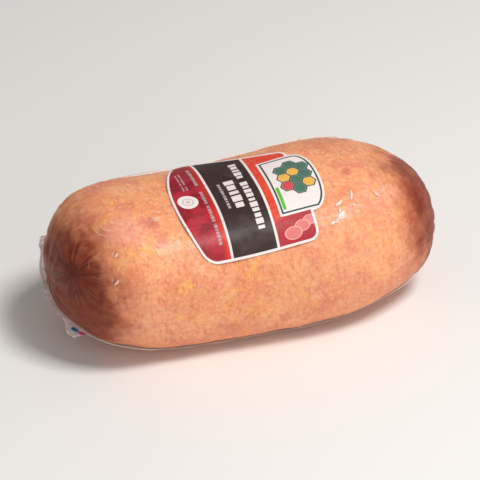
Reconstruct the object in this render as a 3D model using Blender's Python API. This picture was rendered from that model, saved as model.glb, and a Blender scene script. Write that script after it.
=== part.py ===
"""A whole honey ham in its clear shrink film, with the label that is stuck round its top and front.

Metres, +Z up. +X runs along the ham and -Y is the side with most of the label. The origin lies on
the resting face, under the middle of the box that holds the ham.
"""

import math

import bmesh
import bpy
import numpy as np

# Ham in its film, as half sizes before its own weight presses the underside flat
HALF_LENGTH = 0.1766
HALF_WIDTH = 0.0862
HALF_HEIGHT = 0.0718
TOP_SHARE = 1.05
BOTTOM_SHARE = 0.95
SETTLE = 0.003

# Bluntness of the two ends and of the section, as powers of superellipses (2 is an ellipse)
LEFT_END_POWER = 2.68
RIGHT_END_POWER = 2.83
TOP_POWER = 2.47
BOTTOM_POWER = 2.90

# Swell of the muscle at stations along the ham, as shares of the half height and half width
STATIONS = (-1.0, -0.6, -0.2, 0.2, 0.6, 1.0)
CROWN_SWELL = (0.090, 0.020, -0.125, -0.067, 0.015, 0.000)
SIDE_SWELL = (0.000, 0.036, -0.053, -0.009, 0.011, 0.010)
LEFT_END_LIFT = 0.0132
LEFT_END_LIFT_FROM = 0.4

# Soft lumps of the meat: depth, waves along the ham, waves round it, phase
LUMPS = (
    (0.0009, 3.1, 2.0, 0.4),
    (0.0007, 5.3, 3.0, 2.1),
    (0.0005, 7.9, 5.0, 4.0),
)
LUMP_FADE_FROM = 0.80

# Gathers of the skin that run together at each end
GATHER_COUNT = 12
GATHER_DEPTH = 0.0007
GATHER_FROM = 0.955
GATHER_PEAK = 0.990
GATHER_TO = 0.9995

# Two edges of the flat bag that show as pleats from end to end
PLEAT_ANGLES = (math.radians(51), math.radians(230))
PLEAT_HEIGHT = 0.0014
PLEAT_HALF_TURN = math.radians(1.5)
PLEAT_TO = 0.93
PLEAT_FADE = 0.05
PLEAT_TURN_LEFT = (math.radians(-36), math.radians(-3))
PLEAT_TURN_RIGHT = (math.radians(-34), math.radians(-10))
PLEAT_TURN_FROM_LEFT = 0.30
PLEAT_TURN_FROM_RIGHT = 0.62
PLEAT_REACH = math.radians(88)

# Grid of the ham's surface, the step over which its slope is measured, and the samples that
# measure lengths along its curves. Columns nearer a pleat than the spacing share make way for it
COLUMNS = 66
RINGS = 42
PLEAT_SPACING = 0.6
NORMAL_REACH = 0.01
PROFILE_SAMPLES = 2001
SECTION_SAMPLES = 721

# Seal fins of the bag: the straight welded seams that cross its two ends, with a dog ear at each tip
FIN_THICKNESS = 0.0013
FIN_ROOT = 0.006
FIN_WAVE = 0.0012
FIN_WAVES = 3.5
FIN_STEPS = 22
FIN_LAYERS = 3
FIN_SHARE_MAX = 0.98
LEFT_FIN = {
    "centre_y": 0.007,
    "centre_z": 0.053,
    "tilt": math.radians(29.4),
    "reach_back": 0.053,
    "reach_front": 0.051,
    "stand": 0.0040,
    "ear_back": 0.0085,
    "ear_front": 0.0145,
}
RIGHT_FIN = {
    "centre_y": 0.000,
    "centre_z": 0.040,
    "tilt": math.radians(12),
    "reach_back": 0.050,
    "reach_front": 0.050,
    "stand": 0.0040,
    "ear_back": 0.0060,
    "ear_front": 0.0060,
}
EAR_LENGTH = 0.020

# Label: a thin die cut sticker. Its outline is in places along X and in arc round the section,
# from the top line, with the front positive
LABEL_GAP = 0.0004
LABEL_THICKNESS = 0.0005
LABEL_TOP_LEFT = -0.055
LABEL_TOP_RIGHT = -0.028
LABEL_BOTTOM = 0.086
LABEL_LEFT = -0.0658
LABEL_LEFT_AT = 0.022
LABEL_LEFT_RADIUS = 0.140
LABEL_RIGHT = 0.0505
LABEL_CORNER = 0.009
LABEL_COLUMNS = 17
# Badge: a rounded tab that stands out of the label's right edge
BADGE_OUT = 0.0175
BADGE_TOP = -0.0155
BADGE_BOTTOM = 0.0600
BADGE_POWER = 2.4
# Rows of the label's grid in each stretch of its right edge: above, along and below the badge
LABEL_ROWS = (7, 17, 8)

# Colours, as linear values, and roughness
FILM_PINK = (0.80, 0.36, 0.20, 1.0)
FILM_ROUGHNESS = 0.30
LABEL_RED = (0.36, 0.07, 0.07, 1.0)
LABEL_ROUGHNESS = 0.35
SHARP_EDGE = math.radians(40)


def remove_objects():
    """Empty the scene."""
    for old in list(bpy.data.objects):
        bpy.data.objects.remove(old, do_unlink=True)


def finish(name, colour, roughness):
    """Return a plain Principled material."""
    material = bpy.data.materials.new(name)
    material.use_nodes = True
    shader = material.node_tree.nodes["Principled BSDF"]
    shader.inputs["Base Color"].default_value = colour
    shader.inputs["Roughness"].default_value = roughness
    shader.inputs["Metallic"].default_value = 0.0
    return material


def smooth_step(value, low, high):
    """Rise from 0 at low to 1 at high, level at both ends."""
    share = np.clip((value - low) / (high - low), 0.0, 1.0)
    return share * share * (3.0 - 2.0 * share)


def swell(along, values):
    """Return the one smooth polynomial through the values at the stations."""
    return np.polyval(np.polyfit(STATIONS, values, len(STATIONS) - 1), along)


def superellipse(angle, power):
    """Return the radius at an angle of a superellipse with half sizes of 1."""
    return (np.abs(np.cos(angle)) ** power + np.abs(np.sin(angle)) ** power) ** (-1.0 / power)


def end_power(along):
    """Return the bluntness of the end that a station belongs to."""
    return np.where(along < 0.0, LEFT_END_POWER, RIGHT_END_POWER)


def girth(along):
    """Return the share of the full section at a station, from 0 at an end to 1 in the middle."""
    power = end_power(along)
    return np.clip(1.0 - np.abs(along) ** power, 0.0, 1.0) ** (1.0 / power)


def relief(along, angle):
    """Return how far lumps and end gathers stand out from the smooth form."""
    height = np.zeros(np.broadcast(along, angle).shape)
    for depth, waves_along, waves_round, phase in LUMPS:
        height = height + depth * np.sin(waves_along * along + waves_round * angle + phase)
    height = height * (1.0 - smooth_step(np.abs(along), LUMP_FADE_FROM, 1.0))
    rise = smooth_step(np.abs(along), GATHER_FROM, GATHER_PEAK)
    fall = 1.0 - smooth_step(np.abs(along), GATHER_PEAK, GATHER_TO)
    return height + GATHER_DEPTH * rise * fall * np.sin(GATHER_COUNT * angle)


def ham_surface(along, angle, lift=0.0):
    """Return points of the ham, from the station along it and the angle round its section.

    Angle 0 is the back, a quarter turn is the top and a half turn is the front. The lift raises a
    pleat, roughly square to the surface.
    """
    along, angle = np.broadcast_arrays(np.asarray(along, float), np.asarray(angle, float))
    upper = np.sin(angle) > 0.0
    section = superellipse(angle, np.where(upper, TOP_POWER, BOTTOM_POWER))
    size = girth(along)
    half = HALF_HEIGHT * np.where(upper, TOP_SHARE * (1.0 + swell(along, CROWN_SWELL)), BOTTOM_SHARE)
    centre = HALF_HEIGHT * BOTTOM_SHARE - SETTLE
    centre = centre + LEFT_END_LIFT * np.clip(-along - LEFT_END_LIFT_FROM, 0.0, 1.0) ** 2
    x = HALF_LENGTH * along
    y = HALF_WIDTH * (1.0 + swell(along, SIDE_SWELL)) * size * section * np.cos(angle)
    z = centre + half * size * section * np.sin(angle)
    out = relief(along, angle) + lift
    steep = np.abs(along) ** (end_power(along) - 1.0)
    outward = np.stack([np.sign(along) * steep, size * np.cos(angle), size * np.sin(angle)], -1)
    outward = outward / np.linalg.norm(outward, axis=-1, keepdims=True)
    points = np.stack([x, y, z], -1) + out[..., None] * outward
    points[..., 2] = np.maximum(points[..., 2], 0.0)
    return points


def raised_point(along, angle, gap):
    """Return the point that stands a gap off the ham, square to its surface."""
    reach = NORMAL_REACH
    ahead, behind = ham_surface(along + reach, angle), ham_surface(along - reach, angle)
    over, under = ham_surface(along, angle + reach), ham_surface(along, angle - reach)
    outward = np.cross(over - under, ahead - behind)
    return ham_surface(along, angle) + gap * outward / np.linalg.norm(outward)


def pleat_turn(along, pleat):
    """Return how far a pleat has wandered round the ham at a station, towards the ears."""
    left = PLEAT_TURN_LEFT[pleat] * smooth_step(-along, PLEAT_TURN_FROM_LEFT, PLEAT_TO)
    right = PLEAT_TURN_RIGHT[pleat] * smooth_step(along, PLEAT_TURN_FROM_RIGHT, PLEAT_TO)
    return left + right


def signed_turn(angle, centre):
    """Return the shortest turn from a centre to an angle."""
    return (angle - centre + math.pi) % (2.0 * math.pi) - math.pi


def column_angles():
    """Return the angles of the grid's columns, with three close together at each pleat."""
    step = 2.0 * math.pi / COLUMNS
    angles = [k * step for k in range(COLUMNS)]
    for pleat in PLEAT_ANGLES:
        angles = [a for a in angles if abs(signed_turn(a, pleat)) > PLEAT_SPACING * step]
        angles += [pleat - PLEAT_HALF_TURN, pleat, pleat + PLEAT_HALF_TURN]
    return np.array(sorted(angles))


def ring_stations():
    """Return stations spaced evenly along the end to end profile, without the two poles."""
    turn = np.linspace(0.0, math.pi, PROFILE_SAMPLES)
    along = -np.cos(turn) * superellipse(turn, end_power(-np.cos(turn)))
    side = girth(along) * HALF_WIDTH
    run = np.concatenate([[0.0], np.cumsum(np.hypot(np.diff(along) * HALF_LENGTH, np.diff(side)))])
    return np.interp(np.linspace(0.0, run[-1], RINGS + 2)[1:-1], run, along)


def make_object(name, vertices, faces, material):
    """Return a mesh object with outward faces."""
    mesh = bpy.data.meshes.new(name)
    mesh.from_pydata([tuple(v) for v in vertices], [], faces)
    model = bmesh.new()
    model.from_mesh(mesh)
    bmesh.ops.recalc_face_normals(model, faces=model.faces)
    model.to_mesh(mesh)
    model.free()
    mesh.materials.append(material)
    piece = bpy.data.objects.new(name, mesh)
    bpy.context.scene.collection.objects.link(piece)
    return piece


def ham_body(material):
    """Return the ham in its film, without the fins: rings of points closed by a fan at each end."""
    angles = column_angles()
    stations = ring_stations()[:, None]
    turned = np.repeat(angles[None, :], len(stations), axis=0)
    ridge = np.zeros(turned.shape)
    for pleat, centre in enumerate(PLEAT_ANGLES):
        off = signed_turn(angles, centre)[None, :]
        near = np.cos(np.clip(off / PLEAT_REACH, -1.0, 1.0) * math.pi / 2) ** 2
        turned = turned + pleat_turn(stations, pleat) * near
        crest = np.abs(off) < 0.5 * PLEAT_HALF_TURN
        fade = 1.0 - smooth_step(np.abs(stations), PLEAT_TO - PLEAT_FADE, PLEAT_TO + PLEAT_FADE)
        ridge = ridge + PLEAT_HEIGHT * crest * fade
    points = ham_surface(np.repeat(stations, len(angles), axis=1), turned, ridge)
    poles = ham_surface(np.array([-1.0, 1.0]), np.array([0.0, 0.0]))
    rows, columns = points.shape[:2]
    vertices = list(points.reshape(-1, 3)) + [poles[0], poles[1]]
    left, right = rows * columns, rows * columns + 1
    faces = []
    for c in range(columns):
        d = (c + 1) % columns
        faces.append((left, d, c))
        faces.append((right, (rows - 1) * columns + c, (rows - 1) * columns + d))
        for r in range(rows - 1):
            faces.append((r * columns + c, r * columns + d, (r + 1) * columns + d, (r + 1) * columns + c))
    return make_object("wrapped_ham", vertices, faces, material)


def solid_between(name, inner, outer, material):
    """Return the closed solid between two grids of points with the same rows and columns."""
    rows, columns = inner.shape[:2]
    count = rows * columns
    faces = []
    for r in range(rows - 1):
        for c in range(columns - 1):
            a, b = r * columns + c, r * columns + c + 1
            d, e = a + columns, b + columns
            faces.append((a, d, e, b))
            faces.append((a + count, b + count, e + count, d + count))
    rim = list(range(columns))
    rim += [r * columns + columns - 1 for r in range(1, rows)]
    rim += [(rows - 1) * columns + c for c in range(columns - 2, -1, -1)]
    rim += [r * columns for r in range(rows - 2, 0, -1)]
    for a, b in zip(rim, rim[1:] + rim[:1]):
        faces.append((a, b, b + count, a + count))
    vertices = np.concatenate([inner.reshape(-1, 3), outer.reshape(-1, 3)])
    return make_object(name, vertices, faces, material)


def seal_fin(name, size, end, material):
    """Return one seal fin: a thin wavy strip whose root is sunk in the end of the ham.

    Its places run along the seam, and its height is measured out from the face of the end.
    """
    seam = np.linspace(-size["reach_front"], size["reach_back"], FIN_STEPS)[:, None]
    y = size["centre_y"] + seam * math.cos(size["tilt"])
    z = size["centre_z"] + seam * math.sin(size["tilt"])
    power = LEFT_END_POWER if end < 0 else RIGHT_END_POWER
    middle = HALF_HEIGHT * BOTTOM_SHARE
    share = np.hypot(y / HALF_WIDTH, (z - middle) / HALF_HEIGHT)
    face = HALF_LENGTH * (1.0 - np.minimum(share, FIN_SHARE_MAX) ** power) ** (1.0 / power)
    ear_front = size["ear_front"] * smooth_step(-seam, size["reach_front"] - EAR_LENGTH, size["reach_front"])
    ear_back = size["ear_back"] * smooth_step(seam, size["reach_back"] - EAR_LENGTH, size["reach_back"])
    edge = face + size["stand"] + ear_front + ear_back
    level = np.linspace(0.0, 1.0, FIN_LAYERS)[None, :]
    x = end * ((face - FIN_ROOT) * (1.0 - level) + edge * level)
    turn = 2.0 * math.pi * FIN_WAVES * seam / (size["reach_front"] + size["reach_back"])
    sway = FIN_WAVE * level * np.sin(turn)
    across = np.array([0.0, -math.sin(size["tilt"]), math.cos(size["tilt"])])
    middle_sheet = np.stack([x, y + 0.0 * level, z + 0.0 * level], -1) + sway[..., None] * across
    half = 0.5 * FIN_THICKNESS * across
    return solid_between(name, middle_sheet - half, middle_sheet + half, material)


def fuse(target, additions):
    """Join pieces to a target with Boolean unions and remove the added objects."""
    for added in additions:
        union = target.modifiers.new("fuse_" + added.name, "BOOLEAN")
        union.operation = "UNION"
        union.solver = "EXACT"
        union.object = added
        depsgraph = bpy.context.evaluated_depsgraph_get()
        joined = bpy.data.meshes.new_from_object(target.evaluated_get(depsgraph))
        target.modifiers.clear()
        target.data = joined
        bpy.data.objects.remove(added, do_unlink=True)


def angle_at_arc(along, arc):
    """Return the angle round the section that lies a given arc length past the top line."""
    angles = np.linspace(-math.pi / 2, 3.0 * math.pi / 2, SECTION_SAMPLES)
    ring = ham_surface(np.full(angles.shape, along), angles)
    run = np.concatenate([[0.0], np.cumsum(np.linalg.norm(np.diff(ring, axis=0), axis=1))])
    top = np.interp(math.pi / 2, angles, run)
    return np.interp(top + arc, run, angles)


def eased(start, stop, count):
    """Return places from start to stop that crowd towards both."""
    turn = np.linspace(0.0, math.pi, count)
    return start + (stop - start) * (1.0 - np.cos(turn)) / 2.0


def corner_inset(arc, top):
    """Return how far a rounded corner draws the label's side in, near its top and bottom edges."""
    depth = np.clip(1.0 - np.minimum(arc - top, LABEL_BOTTOM - arc) / LABEL_CORNER, 0.0, 1.0)
    return LABEL_CORNER * (1.0 - np.sqrt(1.0 - depth * depth))


def label_left(arc):
    """Return the label's left edge at an arc: part of a wide circle."""
    off = arc - LABEL_LEFT_AT
    bow = LABEL_LEFT_RADIUS - math.sqrt(LABEL_LEFT_RADIUS ** 2 - off * off)
    return LABEL_LEFT + bow + corner_inset(arc, LABEL_TOP_LEFT)


def label_right(arc):
    """Return the label's right edge at an arc: straight, with the badge's tab standing out."""
    middle = 0.5 * (BADGE_TOP + BADGE_BOTTOM)
    share = min(1.0, abs(arc - middle) / (BADGE_BOTTOM - middle))
    tab = BADGE_OUT * (1.0 - share ** BADGE_POWER) ** (1.0 / BADGE_POWER)
    return LABEL_RIGHT + tab - corner_inset(arc, LABEL_TOP_RIGHT)


def label(material):
    """Return the label: a thin curved solid that follows the ham a hair above its surface."""
    above = eased(LABEL_TOP_RIGHT, BADGE_TOP, LABEL_ROWS[0])
    beside = eased(BADGE_TOP, BADGE_BOTTOM, LABEL_ROWS[1])
    below = eased(BADGE_BOTTOM, LABEL_BOTTOM, LABEL_ROWS[2])
    right_arcs = np.concatenate([above, beside[1:], below[1:]])
    inner = np.zeros((len(right_arcs), LABEL_COLUMNS, 3))
    outer = np.zeros(inner.shape)
    for row, right_arc in enumerate(right_arcs):
        down = (right_arc - LABEL_TOP_RIGHT) / (LABEL_BOTTOM - LABEL_TOP_RIGHT)
        left_arc = LABEL_TOP_LEFT + (LABEL_BOTTOM - LABEL_TOP_LEFT) * down
        left, right = label_left(left_arc), label_right(right_arc)
        for column, across in enumerate(np.linspace(0.0, 1.0, LABEL_COLUMNS)):
            along = (left + (right - left) * across) / HALF_LENGTH
            angle = angle_at_arc(along, left_arc + (right_arc - left_arc) * across)
            inner[row, column] = raised_point(along, angle, LABEL_GAP)
            outer[row, column] = raised_point(along, angle, LABEL_GAP + LABEL_THICKNESS)
    return solid_between("label", inner, outer, material)


def main():
    """Build the ham in its film and the label."""
    remove_objects()
    film = finish("film_on_ham", FILM_PINK, FILM_ROUGHNESS)
    print_red = finish("label_print", LABEL_RED, LABEL_ROUGHNESS)
    ham = ham_body(film)
    fins = [seal_fin("left_fin", LEFT_FIN, -1, film), seal_fin("right_fin", RIGHT_FIN, 1, film)]
    fuse(ham, fins)
    sticker = label(print_red)
    for piece in (ham, sticker):
        piece.data.shade_smooth()
        piece.data.set_sharp_from_angle(angle=SHARP_EDGE)


main()
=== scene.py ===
"""Looks of a whole honey ham in clear shrink film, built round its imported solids.

Metres, in the frame of the solids: +X along the ham, -Y towards the viewer, +Z up. Most pieces are
surfaces of two parameters: the station along the ham, from -1 at the left end to 1 at the right end,
and the angle round its section, from 0 at the back through a quarter turn at the top to a half turn
at the front. A place on the label or on a crease is named by its x and by its arc instead, which is
the length round the section from the top line, with the front positive.
"""

import logging
import math
from dataclasses import dataclass
from enum import Enum
from typing import Any, Callable

import bmesh
import bpy
import numpy as np
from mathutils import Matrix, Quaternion, Vector


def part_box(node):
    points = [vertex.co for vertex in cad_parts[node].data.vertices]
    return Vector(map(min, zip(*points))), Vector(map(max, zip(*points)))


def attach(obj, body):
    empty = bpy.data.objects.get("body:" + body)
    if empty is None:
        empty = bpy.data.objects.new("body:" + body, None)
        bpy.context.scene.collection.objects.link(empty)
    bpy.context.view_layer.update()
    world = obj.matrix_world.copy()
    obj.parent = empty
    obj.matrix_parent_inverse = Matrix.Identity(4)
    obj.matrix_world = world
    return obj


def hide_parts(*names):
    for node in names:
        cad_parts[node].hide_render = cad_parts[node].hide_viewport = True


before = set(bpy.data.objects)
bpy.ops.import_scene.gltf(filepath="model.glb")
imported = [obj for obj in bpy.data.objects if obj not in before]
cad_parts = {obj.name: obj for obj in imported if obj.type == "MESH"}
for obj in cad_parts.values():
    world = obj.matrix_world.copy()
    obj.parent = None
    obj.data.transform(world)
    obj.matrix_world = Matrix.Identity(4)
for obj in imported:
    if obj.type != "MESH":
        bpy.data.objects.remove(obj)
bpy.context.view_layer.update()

LOG = logging.getLogger("honey_ham")
MM = 0.001
Colour = tuple[float, float, float, float]
Point = tuple[float, float, float]
Pair = tuple[float, float]
Array = np.ndarray
Piece = bpy.types.Object
Material = bpy.types.Material


def paint(red: int, green: int, blue: int) -> Colour:
    """Return the linear colour of three screen values from 0 to 255.

    Args:
        red: its red.
        green: its green.
        blue: its blue.

    Returns:
        Red, green, blue and a full alpha.
    """
    shares = [value / 255.0 for value in (red, green, blue)]
    linear = [s / 12.92 if s <= 0.04045 else ((s + 0.055) / 1.055) ** 2.4 for s in shares]
    return (linear[0], linear[1], linear[2], 1.0)


def smooth_step(value: Array, low: float, high: float) -> Array:
    """Rise from 0 at low to 1 at high, level at both ends."""
    share = np.clip((value - low) / (high - low), 0.0, 1.0)
    return share * share * (3.0 - 2.0 * share)


def eased(start: float, stop: float, count: int) -> Array:
    """Return places from start to stop that crowd towards both, as the cosine of an even turn."""
    turn = np.linspace(0.0, math.pi, count)
    return start + (stop - start) * (1.0 - np.cos(turn)) / 2.0


class Slot(Enum):
    """The record's material slots."""

    MEAT = "meat"
    FILM = "film"
    LABEL = "label"


class Node(Enum):
    """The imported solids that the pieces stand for."""

    HAM = "wrapped_ham"
    LABEL = "label"


@dataclass(frozen=True)
class Waves:
    """Soft relief with no seams: a seeded sum of sine waves that run through space.

    Its height at a point is depth times the mean of sin(2 pi p.d / length + phase) over the waves,
    scaled so that the depth is about the size of a common crest.
    """

    seed: int
    count: int
    shortest: float
    longest: float
    depth: float
    stretch: Point = (1.0, 1.0, 1.0)

    def at(self, points: Array) -> Array:
        """Return the heights at points.

        Args:
            points: places, with x, y and z on the last axis.

        Returns:
            One height for each point.
        """
        draw = np.random.default_rng(self.seed)
        ways = draw.normal(size=(self.count, 3))
        ways /= np.linalg.norm(ways, axis=1, keepdims=True)
        lengths = np.exp(draw.uniform(math.log(self.shortest), math.log(self.longest), self.count))
        phases = draw.uniform(0.0, 2.0 * math.pi, self.count)
        turns = (points * np.array(self.stretch)) @ (2.0 * math.pi * ways / lengths[:, None]).T
        return self.depth * math.sqrt(2.0 / self.count) * np.sin(turns + phases).sum(-1)


@dataclass(frozen=True)
class HamForm:
    """The form that meat, film and label share, with the same driving sizes as the solids."""

    half_length: float = 0.1766
    half_width: float = 0.0862
    half_height: float = 0.0718
    top_share: float = 1.05
    bottom_share: float = 0.95
    settle: float = 0.003
    left_end_power: float = 2.68
    right_end_power: float = 2.83
    top_power: float = 2.47
    bottom_power: float = 2.90
    stations: tuple[float, ...] = (-1.0, -0.6, -0.2, 0.2, 0.6, 1.0)
    crown_swell: tuple[float, ...] = (0.090, 0.020, -0.125, -0.067, 0.015, 0.000)
    side_swell: tuple[float, ...] = (0.000, 0.036, -0.053, -0.009, 0.011, 0.010)
    left_end_lift: float = 0.0132
    left_end_lift_from: float = 0.4
    lumps: tuple[tuple[float, ...], ...] = (
        (0.0009, 3.1, 2.0, 0.4), (0.0007, 5.3, 3.0, 2.1), (0.0005, 7.9, 5.0, 4.0),
    )
    lump_fade_from: float = 0.80
    gather_count: int = 12
    gather_depth: float = 0.0007
    gather_from: float = 0.955
    gather_peak: float = 0.990
    gather_to: float = 0.9995
    slope_step: float = 0.004
    profile_samples: int = 2001

    def swell(self, along: Array, values: tuple[float, ...]) -> Array:
        """Return the one smooth polynomial through the values at the stations."""
        return np.polyval(np.polyfit(self.stations, values, len(self.stations) - 1), along)

    def end_power(self, along: Array) -> Array:
        """Return the bluntness of the end that a station belongs to."""
        return np.where(along < 0.0, self.left_end_power, self.right_end_power)

    def girth(self, along: Array) -> Array:
        """Return the share of the full section at a station: (1 - |along|^p)^(1/p)."""
        power = self.end_power(along)
        return np.clip(1.0 - np.abs(along) ** power, 0.0, 1.0) ** (1.0 / power)

    def relief(self, along: Array, angle: Array) -> Array:
        """Return how far lumps and end gathers stand out: sines of both parameters, faded at the ends.

        Args:
            along: stations from -1 to 1.
            angle: angles round the section.

        Returns:
            One height for each point.
        """
        height = np.zeros(np.broadcast(along, angle).shape)
        for depth, waves_along, waves_round, phase in self.lumps:
            height = height + depth * np.sin(waves_along * along + waves_round * angle + phase)
        height = height * (1.0 - smooth_step(np.abs(along), self.lump_fade_from, 1.0))
        rise = smooth_step(np.abs(along), self.gather_from, self.gather_peak)
        fall = 1.0 - smooth_step(np.abs(along), self.gather_peak, self.gather_to)
        return height + self.gather_depth * rise * fall * np.sin(self.gather_count * angle)

    def surface(self, along: Array, angle: Array) -> Array:
        """Return points of the ham.

        Each section is a superellipse, 1 / (|cos|^n + |sin|^n)^(1/n) from its centre, with half sizes
        that swell along the ham and shrink towards the ends by the girth. The underside is pressed
        flat at the height of 0.

        Args:
            along: stations from -1 to 1.
            angle: angles round the section.

        Returns:
            Points, with x, y and z on the last axis.
        """
        along, angle = np.broadcast_arrays(np.asarray(along, float), np.asarray(angle, float))
        cos, sin = np.cos(angle), np.sin(angle)
        power = np.where(sin > 0.0, self.top_power, self.bottom_power)
        section = (np.abs(cos) ** power + np.abs(sin) ** power) ** (-1.0 / power)
        size = self.girth(along)
        crown = self.top_share * (1.0 + self.swell(along, self.crown_swell))
        half = self.half_height * np.where(sin > 0.0, crown, self.bottom_share)
        centre = self.half_height * self.bottom_share - self.settle
        centre = centre + self.left_end_lift * np.clip(-along - self.left_end_lift_from, 0.0, 1.0) ** 2
        x = self.half_length * along
        y = self.half_width * (1.0 + self.swell(along, self.side_swell)) * size * section * cos
        z = centre + half * size * section * sin
        steep = np.abs(along) ** (self.end_power(along) - 1.0)
        outward = np.stack([np.sign(along) * steep, size * cos, size * sin], -1)
        outward = outward / np.linalg.norm(outward, axis=-1, keepdims=True)
        points = np.stack([x, y, z], -1) + self.relief(along, angle)[..., None] * outward
        points[..., 2] = np.maximum(points[..., 2], 0.0)
        return points

    def outward(self, along: Array, angle: Array) -> Array:
        """Return unit normals: the cross product of the slopes round the section and along the ham.

        Args:
            along: stations from -1 to 1.
            angle: angles round the section.

        Returns:
            One unit vector for each point.
        """
        step = self.slope_step
        inner = np.clip(along, -1.0 + 2.0 * step, 1.0 - 2.0 * step)
        around = self.surface(inner, angle + step) - self.surface(inner, angle - step)
        ahead = self.surface(inner + step, angle) - self.surface(inner - step, angle)
        normal = np.cross(around, ahead)
        return normal / np.linalg.norm(normal, axis=-1, keepdims=True)

    def off(self, along: Array, angle: Array, lift: Array) -> Array:
        """Return points that stand a lift off the ham, square to it, and never below the floor.

        Args:
            along: stations from -1 to 1.
            angle: angles round the section.
            lift: how far the points stand off.

        Returns:
            The points.
        """
        points = self.surface(along, angle) + np.asarray(lift)[..., None] * self.outward(along, angle)
        points[..., 2] = np.maximum(points[..., 2], 0.0)
        return points

    def poles(self) -> Array:
        """Return the two end points."""
        return self.surface(np.array([-1.0, 1.0]), np.zeros(2))

    def grid(self, rings: int, columns: int) -> tuple[Array, Array]:
        """Return stations and angles of a grid whose rings are evenly spaced over the profile.

        Args:
            rings: number of rings, without the two poles.
            columns: number of points round each ring.

        Returns:
            A column of stations and a row of angles.
        """
        turn = np.linspace(0.0, math.pi, self.profile_samples)
        power = self.end_power(-np.cos(turn))
        reach = (np.abs(np.cos(turn)) ** power + np.abs(np.sin(turn)) ** power) ** (-1.0 / power)
        along = -np.cos(turn) * reach
        side = self.girth(along) * self.half_width
        steps = np.hypot(np.diff(along) * self.half_length, np.diff(side))
        run = np.concatenate([[0.0], np.cumsum(steps)])
        stations = np.interp(np.linspace(0.0, run[-1], rings + 2)[1:-1], run, along)
        angles = np.linspace(0.0, 2.0 * math.pi, columns, endpoint=False)
        return stations[:, None], angles[None, :]


class PlaceOnHam:
    """Turns a place named by x and arc into a point on the ham, by a table of arc lengths.

    Args:
        form: the ham's form.
    """

    STATIONS = 241
    SAMPLES = 721
    ARCS = 641
    REACH = 0.16
    END = 0.995

    def __init__(self, form: HamForm) -> None:
        """Work out the table."""
        self.form = form
        self.along = np.linspace(-self.END, self.END, self.STATIONS)
        angles = np.linspace(-math.pi / 2, 1.5 * math.pi, self.SAMPLES)
        rings = form.surface(self.along[:, None], angles[None, :])
        steps = np.linalg.norm(np.diff(rings, axis=1), axis=-1)
        run = np.concatenate([np.zeros((self.STATIONS, 1)), np.cumsum(steps, axis=1)], axis=1)
        run -= run[:, [self.SAMPLES // 2]]
        arcs = np.linspace(-self.REACH, self.REACH, self.ARCS)
        self.angles = np.array([np.interp(arcs, ring, angles) for ring in run])

    def angle(self, x: Array, arc: Array) -> Array:
        """Return the angle round the section at an x and an arc, read straight between table cells.

        Args:
            x: places along the ham.
            arc: arcs from the top line.

        Returns:
            One angle for each place.
        """
        row = (x / self.form.half_length + self.END) / (2.0 * self.END) * (self.STATIONS - 1)
        column = (arc + self.REACH) / (2.0 * self.REACH) * (self.ARCS - 1)
        i = np.clip(np.floor(row).astype(int), 0, self.STATIONS - 2)
        j = np.clip(np.floor(column).astype(int), 0, self.ARCS - 2)
        down, across = row - i, column - j
        upper = self.angles[i, j] * (1.0 - across) + self.angles[i, j + 1] * across
        lower = self.angles[i + 1, j] * (1.0 - across) + self.angles[i + 1, j + 1] * across
        return upper * (1.0 - down) + lower * down

    def point(self, x: Array, arc: Array, lift: Array) -> Array:
        """Return points that stand a lift off the ham at an x and an arc."""
        return self.form.off(x / self.form.half_length, self.angle(x, arc), lift)


def quads(rows: int, columns: int, closed: bool) -> Array:
    """Return the four corners of each cell of a grid.

    Args:
        rows: number of rows.
        columns: number of columns.
        closed: True where the last column meets the first.

    Returns:
        Corner numbers, turned so that faces look away from the ham where rows run along it and
        columns run round it.
    """
    r = np.arange(rows - 1)[:, None]
    c = np.arange(columns if closed else columns - 1)[None, :]
    d = (c + 1) % columns
    cells = [r * columns + c, r * columns + d, (r + 1) * columns + d, (r + 1) * columns + c]
    return np.stack(np.broadcast_arrays(*cells), -1).reshape(-1, 4)


def make_piece(name: str, points: Array, faces: list[list[int]]) -> Piece:
    """Return a smooth mesh object at the origin with the given points and faces.

    Args:
        name: its name.
        points: its points, on any grid.
        faces: corner numbers.

    Returns:
        The piece.
    """
    mesh = bpy.data.meshes.new(name)
    mesh.from_pydata(points.reshape(-1, 3).tolist(), [], faces)
    mesh.shade_smooth()
    piece = bpy.data.objects.new(name, mesh)
    bpy.context.scene.collection.objects.link(piece)
    return piece


def make_body(name: str, points: Array, poles: Array, lift: float) -> Piece:
    """Return a closed body of rings of points, with a fan of triangles to a pole at each end.

    Args:
        name: the piece's name.
        points: the rings.
        poles: the two end points of the ham.
        lift: how far the body's own poles stand off them.

    Returns:
        The piece.
    """
    rows, columns = points.shape[:2]
    faces = quads(rows, columns, True).tolist()
    here = np.arange(columns)
    there = (here + 1) % columns
    last = (rows - 1) * columns
    left = np.full(columns, rows * columns)
    faces += np.stack([left, there, here], -1).tolist()
    faces += np.stack([left + 1, last + here, last + there], -1).tolist()
    ends = poles + lift * np.array([[-1.0, 0.0, 0.0], [1.0, 0.0, 0.0]])
    return make_piece(name, np.concatenate([points.reshape(-1, 3), ends]), faces)


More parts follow.
